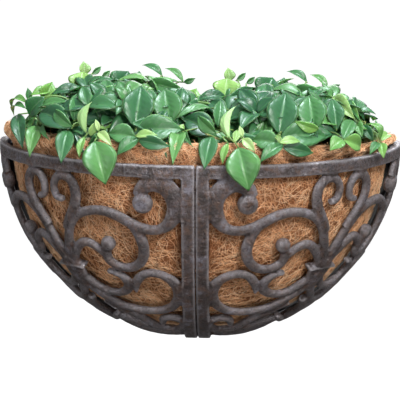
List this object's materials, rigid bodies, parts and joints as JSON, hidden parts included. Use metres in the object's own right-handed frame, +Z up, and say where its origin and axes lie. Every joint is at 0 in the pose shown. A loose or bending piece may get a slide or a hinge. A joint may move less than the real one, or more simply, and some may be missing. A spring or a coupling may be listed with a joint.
{
  "type": "wall hanging basket",
  "caption": "Half-round wall hanging basket: two scrollwork cast-iron halves bolted at a front seam and to a wall bar, with a lift-out coir liner planted with leafy plants.",
  "frame": {"origin": "midway between the two wall screw holes, on the back face of the wall bar, which lies on the wall", "axes": "+Z up, -Y out of the wall to the front, +X to the right as seen from the front"},
  "size_m": [0.4, 0.2, 0.282],
  "materials": {
    "cast_iron": "satin",
    "steel_bar": "satin",
    "zinc_hardware": "satin",
    "coir": "matte",
    "black_film": "satin",
    "compost": "matte",
    "foliage": "satin"
  },
  "bodies": {
    "cage": {"bar_screws": "zinc_hardware", "left_foot_leaf": "cast_iron", "left_front_big_scroll": "cast_iron", "left_front_crest_hook": "cast_iron", "left_front_foot_scroll": "cast_iron", "left_front_inner_scroll": "cast_iron", "left_front_leaf_scroll": "cast_iron", "left_front_link_arm": "cast_iron", "left_front_ring_scroll": "cast_iron", "left_hub": "cast_iron", "left_rim_band": "cast_iron", "left_seam_bar": "cast_iron", "left_wall_big_scroll": "cast_iron", "left_wall_crest_hook": "cast_iron", "left_wall_edge": "cast_iron", "left_wall_foot_scroll": "cast_iron", "left_wall_inner_scroll": "cast_iron", "left_wall_leaf_scroll": "cast_iron", "left_wall_link_arm": "cast_iron", "left_wall_ring_scroll": "cast_iron", "right_foot_leaf": "cast_iron", "right_front_big_scroll": "cast_iron", "right_front_crest_hook": "cast_iron", "right_front_foot_scroll": "cast_iron", "right_front_inner_scroll": "cast_iron", "right_front_leaf_scroll": "cast_iron", "right_front_link_arm": "cast_iron", "right_front_ring_scroll": "cast_iron", "right_hub": "cast_iron", "right_rim_band": "cast_iron", "right_seam_bar": "cast_iron", "right_wall_big_scroll": "cast_iron", "right_wall_crest_hook": "cast_iron", "right_wall_edge": "cast_iron", "right_wall_foot_scroll": "cast_iron", "right_wall_inner_scroll": "cast_iron", "right_wall_leaf_scroll": "cast_iron", "right_wall_link_arm": "cast_iron", "right_wall_ring_scroll": "cast_iron", "seam_bolts": "zinc_hardware", "seam_nuts": "zinc_hardware", "seam_washers": "zinc_hardware", "wall_bar": "steel_bar"},
    "planting": {"coir_liner": "coir", "back_sheet": "black_film", "soil": "compost", "plant_left": "foliage", "plant_right": "foliage"}
  },
  "joints": [
    {"name": "liner_lift", "type": "slide", "parent": "cage", "child": "planting", "axis": [0, 0, 1], "range_m": [0, 0.25]}
  ]
}
